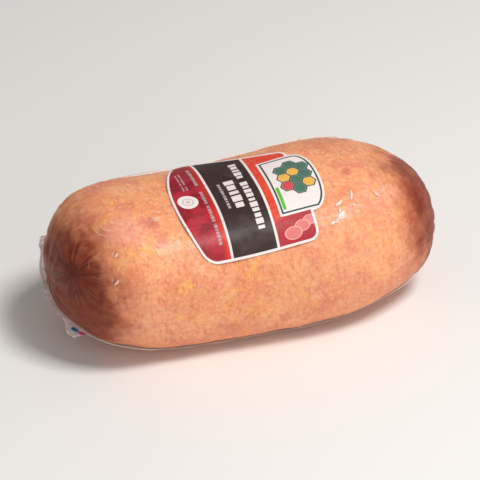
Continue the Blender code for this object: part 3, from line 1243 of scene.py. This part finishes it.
@dataclass
class Meat(Part):
    """The ham's meat: a dense closed body a little inside the film."""

    form: HamForm
    gather: EndGather
    rings: int = 226
    columns: int = 400
    sink: float = 0.0008
    relief_between: Pair = (-0.0012, 0.0007)
    bumps: Waves = Waves(11, 48, 0.018, 0.060, 0.00030)
    grain: Waves = Waves(12, 60, 0.005, 0.010, 0.00012)
    band_pitch: float = 0.029
    band_depth: float = 0.00018
    band_fade: Pair = (0.80, 0.97)
    # Painted shade of the ends, partly browner smoked skin: a round patch on each end and an even cap on
    # both.
    shade_centre: Point = (-0.1740, -0.0360, 0.0700)
    shade_fade: Pair = (0.032, 0.088)
    right_shade_centre: Point = (0.1720, -0.0220, 0.0900)
    right_shade_fade: Pair = (0.030, 0.078)
    right_shade: float = 0.84
    cap_between: Pair = (0.66, 0.97)
    cap_shade: float = 0.58

    def height(self, along: Array, base: Array) -> Array:
        """Return the relief: bumps, grain, the faint bands of the casing and the gathered folds.

        Args:
            along: stations from -1 to 1.
            base: points of the ham.

        Returns:
            One height for each point.
        """
        middle = 1.0 - smooth_step(np.abs(along), *self.band_fade)
        drift = 0.9 * np.sin(base[..., 1] * 40.0) + 0.6 * np.sin(base[..., 2] * 55.0)
        band = np.cos(2.0 * math.pi * base[..., 0] / self.band_pitch + drift) ** 8
        height = self.bumps.at(base) + self.grain.at(base) - self.band_depth * band * middle
        return np.clip(height + self.gather.relief(base), *self.relief_between)

    def shade(self, base: Array) -> Array:
        """Return the painted shade of the ends, partly browner smoked skin: even caps at both ends, and
        a round patch on each of them.

        Args:
            base: points of the ham.

        Returns:
            One share from 0 to 1 for each point.
        """
        left = np.linalg.norm(base - np.array(self.shade_centre), axis=-1)
        right = np.linalg.norm(base - np.array(self.right_shade_centre), axis=-1)
        dark = 1.0 - smooth_step(left, *self.shade_fade)
        other = 1.0 - smooth_step(right, *self.right_shade_fade)
        along = np.abs(base[..., 0]) / self.form.half_length
        cap = self.cap_shade * smooth_step(along, *self.cap_between)
        return 1.0 - (1.0 - np.maximum(dark, self.right_shade * other)) * (1.0 - cap)

    def mesh(self) -> Piece:
        """Return the piece.

        Returns:
            The meat, with the painted shade of its ends.
        """
        along, angle = self.form.grid(self.rings, self.columns)
        base, poles = self.form.surface(along, angle), self.form.poles()
        points = self.form.off(along, angle, self.height(along, base) - self.sink)
        piece = make_body("ham_meat", points, poles, -self.sink)
        note(piece, "end_shade", np.concatenate([self.shade(base).ravel(), self.shade(poles)]))
        return piece


@dataclass
class FilmSkin(Part):
    """The film that clings to the ham, with fine radial wrinkles at the ends."""

    form: HamForm
    rings: int = 200
    columns: int = 420
    lift: float = 0.0002
    ripple: Waves = Waves(21, 40, 0.012, 0.030, 0.00012)
    wrinkle_count: int = 34
    wrinkle_depth: float = 0.0003
    wrinkle_rise: Pair = (0.93, 0.985)
    wrinkle_fall: Pair = (0.994, 0.9999)
    wrinkle_milk: float = 0.08
    pole_milk: float = 0.03
    end_calm: float = 0.75
    calm_between: Pair = (0.62, 0.84)

    def wrinkles(self, along: Array, angle: Array) -> Array:
        """Return the crests of the end wrinkles: narrow peaks of a sine of the angle that fade in.

        Args:
            along: stations from -1 to 1.
            angle: angles round the section.

        Returns:
            One share from 0 to 1 for each point.
        """
        window = smooth_step(np.abs(along), *self.wrinkle_rise)
        window = window * (1.0 - smooth_step(np.abs(along), *self.wrinkle_fall))
        lean = 0.35 * np.sin(3.0 * angle + 1.0) + 0.2 * np.sin(7.0 * angle + 2.0)
        crest = 1.0 - np.abs(np.sin(0.5 * self.wrinkle_count * (angle + 0.12 * lean)))
        return window * crest**3 * (0.6 + 0.4 * np.sin(5.0 * angle + 0.7))

    def mesh(self) -> Piece:
        """Return the piece.

        Returns:
            The film, with its milkiness and its crinkles.
        """
        along, angle = self.form.grid(self.rings, self.columns)
        crest = self.wrinkles(along, angle)
        height = self.lift + self.ripple.at(self.form.surface(along, angle)) + self.wrinkle_depth * crest
        points = self.form.off(along, angle, height)
        piece = make_body("film_skin", points, self.form.poles(), self.lift)
        milk = self.wrinkle_milk * np.clip(crest, 0.0, 1.0)
        note(piece, "milk", np.append(milk, [self.pole_milk] * 2))
        calm = 1.0 - self.end_calm * smooth_step(np.abs(along), *self.calm_between) + 0.0 * angle
        note(piece, "crinkle", np.append(calm, [1.0 - self.end_calm] * 2))
        return piece


@dataclass
class Pleat(Part):
    """One edge of the flat bag: a narrow fold of doubled film that runs from end to end."""

    name: str
    form: HamForm
    angle: float
    turn_left: float
    turn_right: float
    seed: int
    turn_from_left: float = 0.30
    turn_from_right: float = 0.57
    reach: float = 0.93
    run_out: float = 0.03
    steps: int = 420
    profile: int = 11
    half: float = 0.0017
    gap: float = 0.0003
    height: float = 0.0013
    lean: float = 0.0008
    slope_step: float = 0.01

    def path_angle(self, along: Array) -> Array:
        """Return the angle that the pleat has at a station: it wanders towards the ears at the ends.

        Args:
            along: stations from -1 to 1.

        Returns:
            One angle for each station.
        """
        left = self.turn_left * smooth_step(-along, self.turn_from_left, self.reach)
        right = self.turn_right * smooth_step(along, self.turn_from_right, self.reach)
        return self.angle + left + right

    def mesh(self) -> Piece:
        """Return the piece: a leaning hump, (1 - s^2), carried along the path.

        Seeded sines make the hump beat and wander, and it fades out past its reach.

        Returns:
            The pleat, with its milkiness.
        """
        stop = self.reach + self.run_out
        along = np.linspace(-stop, stop, self.steps)[:, None]
        s = np.linspace(-1.0, 1.0, self.profile)[None, :]
        phases = np.random.default_rng(self.seed).uniform(0.0, 2.0 * math.pi, 4)
        beat = 0.75 + 0.25 * np.sin(23.0 * along + phases[0]) * np.sin(9.0 * along + phases[1])
        wander = 0.0006 * np.sin(31.0 * along + phases[2]) + 0.0008 * np.sin(13.0 * along + phases[3])
        fade = 1.0 - smooth_step(np.abs(along), self.reach - 2.0 * self.run_out, stop)
        hump = 1.0 - s * s
        across = (self.half * s * (0.6 + 0.4 * beat) + self.lean * hump) * (0.3 + 0.7 * fade) + wander
        path, step = self.path_angle(along), self.slope_step
        slope = self.form.surface(along, path + step) - self.form.surface(along, path - step)
        size = np.linalg.norm(slope, axis=-1) / (2.0 * step)
        angle = path + across / np.maximum(size, 0.01)
        lift = self.gap + self.height * hump**0.8 * beat * fade
        points = self.form.off(along, angle, lift)
        piece = make_piece(self.name, points, quads(self.steps, self.profile, False).tolist())
        note(piece, "milk", np.clip(hump**1.5 * fade * (0.7 + 0.5 * beat), 0.0, 1.0))
        return piece


@dataclass
class FilmCreasesAndGlints(Part):
    """Short raised creases of the film: those that the picture shows, the milkiest of which are painted
    glints of light, and small ones elsewhere.

    A row of numbers gives each: the x and arc of its start and of its end, its width, its height and
    its bow, all in millimetres, and how milky it is.
    """

    place: PlaceOnHam
    seen: tuple[tuple[float, ...], ...]
    spare: int = 46
    seed: int = 5
    steps: int = 26
    profile: int = 11
    gap: float = 0.0004
    raggedness: Waves = Waves(41, 24, 0.0024, 0.0070, 0.28)
    label_x: Pair = (-78.0, 80.0)
    label_arc: Pair = (-66.0, 98.0)

    def table(self) -> Array:
        """Return the rows, first the seen ones, then a seeded spread that keeps off the label.

        Returns:
            One row for each crease.
        """
        draw = np.random.default_rng(self.seed)
        n = self.spare
        x, arc = draw.uniform(-150.0, 150.0, n), draw.uniform(-118.0, 118.0, n)
        way = draw.normal(0.0, 0.5, n)
        length = draw.uniform(4.0, 15.0, n)
        end_x, end_arc = x + length * np.sin(way), arc + length * np.cos(way)
        width, height = draw.uniform(0.5, 0.9, n), draw.uniform(0.12, 0.3, n)
        bow, milk = draw.uniform(-1.5, 1.5, n), draw.uniform(0.10, 0.35, n)
        spread = np.stack([x, arc, end_x, end_arc, width, height, bow, milk], -1)
        beside = (x < self.label_x[0]) | (x > self.label_x[1])
        clear = beside | (arc < self.label_arc[0]) | (arc > self.label_arc[1])
        return np.concatenate([np.array(self.seen), spread[clear]])

    def mesh(self) -> Piece:
        """Return the piece: humps, (1 - s^2)^1.5, carried along bowed lines and tapered.

        Returns:
            The creases and painted glints, with their milkiness.
        """
        rows = self.table() * np.array([MM] * 7 + [1.0])
        x0, a0, x1, a1, width, height, bow, milk = (rows[:, k][:, None, None] for k in range(8))
        t = np.linspace(0.0, 1.0, self.steps)[None, :, None]
        s = np.linspace(-1.0, 1.0, self.profile)[None, None, :]
        length = np.hypot(x1 - x0, a1 - a0)
        way_x, way_a = (x1 - x0) / length, (a1 - a0) / length
        taper = np.sin(math.pi * t) ** 0.6
        off = bow * np.sin(math.pi * t) + 0.5 * width * s * taper
        x = x0 + (x1 - x0) * t - way_a * off
        arc = a0 + (a1 - a0) * t + way_x * off
        ragged = 0.80 + self.raggedness.at(np.stack([x, arc, 0.0 * x + bow], -1))
        crest = (1.0 - s * s) ** 1.5 * taper * np.clip(ragged, 0.0, 1.0)
        points = self.place.point(x, arc, self.gap + height * crest)
        cells = quads(self.steps, self.profile, False)
        each = self.steps * self.profile
        faces = (cells[None] + each * np.arange(len(rows))[:, None, None]).reshape(-1, 4)
        piece = make_piece("film_creases_and_glints", points, faces.tolist())
        note(piece, "milk", np.broadcast_to(milk * crest**0.6, x.shape))
        return piece


@dataclass
class SealFin(Part):
    """A seal fin of the bag: the straight weld across one end, with a dog ear at each tip."""

    name: str
    form: HamForm
    end: float
    centre_y: float
    centre_z: float
    tilt: float
    reach_back: float
    reach_front: float
    ear_back: float
    ear_front: float
    droop: float
    seed: int
    stand: float = 0.0040
    ear_length: float = 0.020
    thickness: float = 0.00022
    root: float = 0.003
    most_share: float = 0.98
    wave: float = 0.0012
    waves: float = 3.5
    ripples: tuple[Point, ...] = ((0.0004, 9.0, 2.5), (0.0002, 17.0, -4.0))
    ear_ripple: Point = (0.0011, 9.0, 5.0)
    ear_beat: Pair = (0.0006, 11.0)
    steps: int = 190
    layers: int = 20

    def face(self, y: Array, z: Array) -> Array:
        """Return how far from the middle the end's face lies: half the length by (1 - r^p)^(1/p).

        Args:
            y: places across the ham.
            z: heights.

        Returns:
            One distance for each place.
        """
        form = self.form
        power = form.left_end_power if self.end < 0 else form.right_end_power
        middle = form.half_height * form.bottom_share
        share = np.hypot(y / form.half_width, (z - middle) / form.half_height)
        return form.half_length * (1.0 - np.minimum(share, self.most_share) ** power) ** (1.0 / power)

    def mesh(self) -> Piece:
        """Return the piece.

        The sheet runs along the seam and stands out from the end's face by its height, which grows at
        the ears. It sways more towards its free edge, and sines of the place along the seam and up the
        fin crumple it there.

        Returns:
            The fin, with the place along its seam and up its height.
        """
        seam = np.linspace(-self.reach_front, self.reach_back, self.steps)[:, None]
        level = np.linspace(0.0, 1.0, self.layers)[None, :]
        y = self.centre_y + seam * math.cos(self.tilt)
        z = self.centre_z + seam * math.sin(self.tilt)
        face = self.face(y, z)
        front = smooth_step(-seam, self.reach_front - self.ear_length, self.reach_front)
        back = smooth_step(seam, self.reach_back - self.ear_length, self.reach_back)
        ears = front + back
        edge = face + self.stand + self.ear_front * front + self.ear_back * back
        phases = np.random.default_rng(self.seed).uniform(0.0, 2.0 * math.pi, 6)
        turn = 2.0 * math.pi * seam / (self.reach_front + self.reach_back)
        sway = self.wave * np.sin(self.waves * turn)
        shares = (1.0, 1.0, ears)
        for (depth, waves, lean), share, phase in zip((*self.ripples, self.ear_ripple), shares, phases):
            sway = sway + depth * share * np.sin(waves * turn + lean * level + phase)
        sway = level * sway - self.droop * front * level**2
        x = self.end * ((face - self.root) * (1.0 - level) + edge * level)
        x = x + self.ear_beat[0] * ears * np.sin(self.ear_beat[1] * turn + phases[3]) * level
        across = np.array([0.0, -math.sin(self.tilt), math.cos(self.tilt)])
        flat = np.stack(np.broadcast_arrays(x, y, z), -1) + sway[..., None] * across
        half = 0.5 * self.thickness * across
        piece = make_shell(self.name, flat - half, flat + half)
        note(piece, "fin_place", np.stack(np.broadcast_arrays(seam / MM, level, 0.0), -1))
        return piece


@dataclass
class Label(Part):
    """The die cut label: a thin printed sheet that follows the ham, with a rounded tab."""

    place: PlaceOnHam
    gap: float = 0.00045
    thickness: float = 0.00018
    top_left: float = -0.055
    top_right: float = -0.028
    bottom: float = 0.086
    left: float = -0.0658
    left_at: float = 0.022
    left_radius: float = 0.140
    right: float = 0.0505
    corner: float = 0.009
    tab_out: float = 0.0175
    tab_top: float = -0.0155
    tab_bottom: float = 0.0600
    tab_power: float = 2.4
    rows: tuple[int, int, int] = (20, 60, 22)
    columns: int = 120
    fold_arcs: tuple[float, ...] = (-0.002, 0.049)
    fold_height: float = 0.00022
    fold_half: float = 0.0009
    most_wave: float = 0.0004
    rim_parts: int = 24
    waves: Waves = Waves(31, 30, 0.012, 0.040, 0.00009)

    def corner_inset(self, arc: Array, top: float) -> Array:
        """Return how far a round corner draws the side in near the top and the bottom."""
        depth = np.clip(1.0 - np.minimum(arc - top, self.bottom - arc) / self.corner, 0.0, 1.0)
        return self.corner * (1.0 - np.sqrt(1.0 - depth * depth))

    def sides(self) -> tuple[Array, ...]:
        """Return arcs and x of the left side and of the right side, row by row.

        Returns:
            Arcs and x of the left side, then of the right side.
        """
        above = eased(self.top_right, self.tab_top, self.rows[0])
        beside = eased(self.tab_top, self.tab_bottom, self.rows[1])
        below = eased(self.tab_bottom, self.bottom, self.rows[2])
        right_arc = np.concatenate([above, beside[1:], below[1:]])
        down = (right_arc - self.top_right) / (self.bottom - self.top_right)
        left_arc = self.top_left + (self.bottom - self.top_left) * down
        bow = self.left_radius - np.sqrt(self.left_radius**2 - (left_arc - self.left_at) ** 2)
        left = self.left + bow + self.corner_inset(left_arc, self.top_left)
        middle = 0.5 * (self.tab_top + self.tab_bottom)
        share = np.minimum(1.0, np.abs(right_arc - middle) / (self.tab_bottom - middle))
        tab = self.tab_out * (1.0 - share**self.tab_power) ** (1.0 / self.tab_power)
        right = self.right + tab - self.corner_inset(right_arc, self.top_right)
        return left_arc, left, right_arc, right

    def rim_distance(self, x: Array, arc: Array) -> Array:
        """Return the distance in millimetres from each point to the nearest point of the outline.

        Args:
            x: places along the ham.
            arc: arcs from the top line.

        Returns:
            One distance for each point.
        """
        loop = np.stack([x, arc], -1)
        rim = np.concatenate([loop[0], loop[1:, -1], loop[-1, -2::-1], loop[-2:0:-1, 0]])
        parts = np.array_split(loop.reshape(-1, 1, 2), self.rim_parts)
        near = [np.linalg.norm(part - rim[None], axis=-1).min(1) for part in parts]
        return np.concatenate(near).reshape(x.shape) / MM

    def mesh(self) -> Piece:
        """Return the piece: a shell that waves a little and stands up along its old folds.

        Returns:
            The label, with its places and its distances from the rim.
        """
        left_arc, left, right_arc, right = (side[:, None] for side in self.sides())
        across = np.linspace(0.0, 1.0, self.columns)[None, :]
        x = left + (right - left) * across
        arc = left_arc + (right_arc - left_arc) * across
        base = self.place.point(x, arc, np.zeros(x.shape))
        off = (arc[None] - np.array(self.fold_arcs)[:, None, None]) / self.fold_half
        fold = self.fold_height * np.exp(-(off**2)).sum(0)
        lift = self.gap + np.clip(self.waves.at(base) + fold, 0.0, self.most_wave)
        inner, outer = (self.place.point(x, arc, lift + up) for up in (0.0, self.thickness))
        piece = make_shell("printed_label", inner, outer)
        note(piece, "print_place", np.stack([x / MM, arc / MM, 0.0 * x], -1))
        note(piece, "print_rim", self.rim_distance(x, arc))
        return piece


@dataclass(frozen=True)
class SoftBox:
    """A square area lamp that looks at the ham."""

    name: str
    where: Point
    size: float
    power: float
    tint: Point = (1.0, 1.0, 1.0)


@dataclass
class Studio:
    """Pale floor, soft lamps and a camera at the picture's viewing angle."""

    target: Vector
    eye: Point = (-0.679, -2.296, 1.605)
    roll: float = math.radians(-2.1)
    lens: float = 240.0
    clip: Pair = (0.1, 50.0)
    floor_half: float = 6.0
    floor_points: int = 9
    floor_height: float = -0.0002
    air: Colour = (1.0, 0.99, 0.97, 1.0)
    ambient: float = 0.285
    lamps: tuple[SoftBox, ...] = (
        SoftBox("key_lamp", (0.75, -0.85, 2.20), 0.7, 44.2, (1.0, 0.98, 0.95)),
        SoftBox("fill_lamp", (0.50, -2.60, 1.20), 1.8, 16.0),
    )

    def floor(self) -> Piece:
        """Return the floor, a flat grid just under the height of 0.

        Returns:
            The floor.
        """
        side = np.linspace(-self.floor_half, self.floor_half, self.floor_points)
        x, y = np.meshgrid(side, side, indexing="xy")
        points = np.stack([x, y, np.full(x.shape, self.floor_height)], -1)
        cells = quads(self.floor_points, self.floor_points, False)
        piece = make_piece("studio_floor", points, cells.tolist())
        piece.data.materials.append(FloorFinish().material())
        return piece

    def stand(self, data: Any, where: Point) -> Piece:
        """Place a lamp or a camera so that it looks at the ham, and return it.

        Args:
            data: the lamp's or camera's data.
            where: its place.

        Returns:
            The object.
        """
        piece = bpy.data.objects.new(data.name, data)
        piece.location = where
        piece.rotation_mode = "QUATERNION"
        piece.rotation_quaternion = (self.target - Vector(where)).to_track_quat("-Z", "Y")
        bpy.context.scene.collection.objects.link(piece)
        return piece

    def light(self) -> None:
        """Add the lamps and the even light all round."""
        for lamp in self.lamps:
            data = bpy.data.lights.new(lamp.name, "AREA")
            data.shape = "SQUARE"
            data.size, data.energy, data.color = lamp.size, lamp.power, lamp.tint
            self.stand(data, lamp.where)
        world = bpy.data.worlds.new("studio_world")
        world.use_nodes = True
        background = world.node_tree.nodes["Background"]
        background.inputs["Color"].default_value = self.air
        background.inputs["Strength"].default_value = self.ambient
        bpy.context.scene.world = world

    def camera(self) -> None:
        """Add the camera: it stands where the picture's camera stood and looks at the ham."""
        data = bpy.data.cameras.new("picture_camera")
        data.lens = self.lens
        data.clip_start, data.clip_end = self.clip
        piece = self.stand(data, self.eye)
        piece.rotation_quaternion = piece.rotation_quaternion @ Quaternion((0.0, 0.0, 1.0), self.roll)
        bpy.context.scene.camera = piece

    def build(self) -> None:
        """Set the whole stage."""
        self.floor()
        self.light()
        self.camera()
        settings = bpy.context.scene.view_settings
        settings.view_transform, settings.look = "Standard", "None"


# Pleats: name, angle round the section, turns towards the left and the right end, and seed
PLEATS = (
    ("film_pleat_back", 51.0, -36.0, -68.0, 3),
    ("film_pleat_front", 230.0, -3.0, -10.0, 4),
)
PATCHES = (
    Patch((-0.0908, -0.0353, 0.1297), 0.0100, paint(204, 112, 90), 0.75),
    Patch((-0.0835, -0.0324, 0.1299), 0.0050, paint(248, 196, 160), 0.70),
    Patch((0.0934, -0.0226, 0.1337), 0.0062, paint(186, 100, 72), 0.70),
    Patch((-0.1160, -0.0400, 0.1290), 0.0230, paint(236, 156, 136), 0.75),
    Patch((-0.1014, -0.0589, 0.1182), 0.0085, paint(246, 178, 100), 0.70),
    Patch((-0.0931, -0.0527, 0.1223), 0.0070, paint(246, 180, 104), 0.60),
    Patch((-0.1272, -0.0624, 0.1102), 0.0090, paint(242, 170, 98), 0.60),
    Patch((-0.1000, 0.0023, 0.1352), 0.0080, paint(246, 180, 106), 0.50),
    Patch((0.1123, -0.0509, 0.1229), 0.0075, paint(196, 116, 104), 0.60),
    # Painted shade: the top towards the back of the right half is darker, where the light falls off.
    Patch((0.0963, 0.0254, 0.1344), 0.0340, paint(206, 126, 92), 0.60),
    Patch((0.0960, -0.0540, 0.1236), 0.0260, paint(230, 142, 112), 0.50),
    Patch((0.1421, -0.0426, 0.1150), 0.0160, paint(186, 96, 76), 0.50),
)
# The creases that the picture shows; the milkiest, near 1, are painted glints of light on the film.
SEEN_CREASES_AND_GLINTS = (
    (68.2, 73.2, 77.6, 66.6, 8.2, 0.9, 0.8, 1.0),
    (65.8, 75.6, 71.6, 72.2, 4.5, 0.7, 0.4, 0.9),
    (72.2, 66.8, 73.6, 63.4, 2.4, 0.5, 0.3, 0.8),
    (70.4, 61.0, 78.4, 55.4, 4.0, 0.7, 0.6, 1.0),
    (85.4, 58.0, 88.8, 47.0, 2.8, 0.6, 0.7, 1.0),
    (85.6, 63.8, 87.5, 60.4, 2.4, 0.5, 0.3, 0.8),
    (61.4, 76.4, 66.6, 74.0, 3.2, 0.5, 0.2, 0.9),
    (109.2, 50.8, 113.6, 55.4, 3.6, 0.5, 1.0, 0.75),
    (105.5, 46.0, 118.0, 51.5, 1.5, 0.3, 3.4, 0.42),
    (104.0, 59.0, 117.0, 61.0, 1.5, 0.3, -3.0, 0.36),
    (119.0, 42.0, 122.0, 64.0, 1.3, 0.3, 2.4, 0.34),
    (125.0, 38.0, 128.0, 60.0, 1.3, 0.3, 2.0, 0.28),
    (131.0, 34.0, 134.0, 56.0, 1.2, 0.3, 1.6, 0.22),
    (-130.6, 63.0, -126.4, 59.8, 2.4, 0.5, 0.4, 0.80),
    (-132.0, 59.0, -130.0, 57.4, 1.4, 0.4, 0.2, 0.50),
    (-135.0, 85.0, -130.0, 82.0, 2.8, 0.6, 0.4, 0.90),
    (-136.5, 81.0, -134.5, 79.0, 1.6, 0.4, 0.2, 0.50),
    (-94.6, 60.0, -91.4, 72.0, 1.4, 0.4, 0.4, 0.65),
    (-134.0, 27.0, -121.0, 40.0, 1.5, 0.3, 3.6, 0.36),
    (-139.0, 25.0, -128.0, 44.0, 1.4, 0.3, 3.6, 0.30),
    (-128.0, 22.0, -112.0, 36.0, 1.2, 0.3, 3.0, 0.22),
    (-84.5, 24.0, -80.0, 28.0, 3.0, 0.35, 0.5, 0.45),
    (-120.0, 37.0, -102.0, 34.0, 1.2, 0.25, 1.6, 0.26),
    (-112.0, 62.0, -99.0, 76.0, 1.1, 0.3, 1.2, 0.30),
    (-78.0, 66.0, -70.0, 82.0, 1.1, 0.3, 1.4, 0.26),
)


def main() -> None:
    """Build the stage and the ham's pieces in order."""
    logging.basicConfig(level=logging.INFO, format="%(name)s %(message)s")
    low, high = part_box(Node.HAM.value)
    LOG.info("solid ham is %.1f mm long", (high.x - low.x) / MM)
    Studio(target=Vector((0.0, 0.0, 0.5 * (low.z + high.z)))).build()
    form, gather = HamForm(), EndGather()
    place = PlaceOnHam(form)
    Meat(form, gather).build(MeatFinish(patches=PATCHES).material(gather), Slot.MEAT)
    FilmSkin(form).build(FilmFinish(hairline_glints=0.30).material())
    for name, angle, left, right, seed in PLEATS:
        turns = (math.radians(turn) for turn in (angle, left, right))
        Pleat(name, form, *turns, seed).build(FilmFinish("pleated_film", 0.05, 0.92).material())
    FilmCreasesAndGlints(place, SEEN_CREASES_AND_GLINTS).build(FilmFinish("creased_film_and_glints", 0.0, 0.95).material())
    SealFin(
        name="left_seal_fin", form=form, end=-1.0, centre_y=0.007, centre_z=0.053,
        tilt=math.radians(29.4), reach_back=0.053, reach_front=0.051,
        ear_back=0.0085, ear_front=0.0145, droop=0.004, seed=7,
    ).build(FinFinish(marked=True).material())
    SealFin(
        name="right_seal_fin", form=form, end=1.0, centre_y=0.0, centre_z=0.040,
        tilt=math.radians(12.0), reach_back=0.050, reach_front=0.050,
        ear_back=0.0060, ear_front=0.0060, droop=0.0, seed=8,
    ).build(FinFinish().material())
    Label(place).build(PrintFinish().material(), Slot.LABEL, Node.LABEL)


if __name__ == "__main__":
    main()
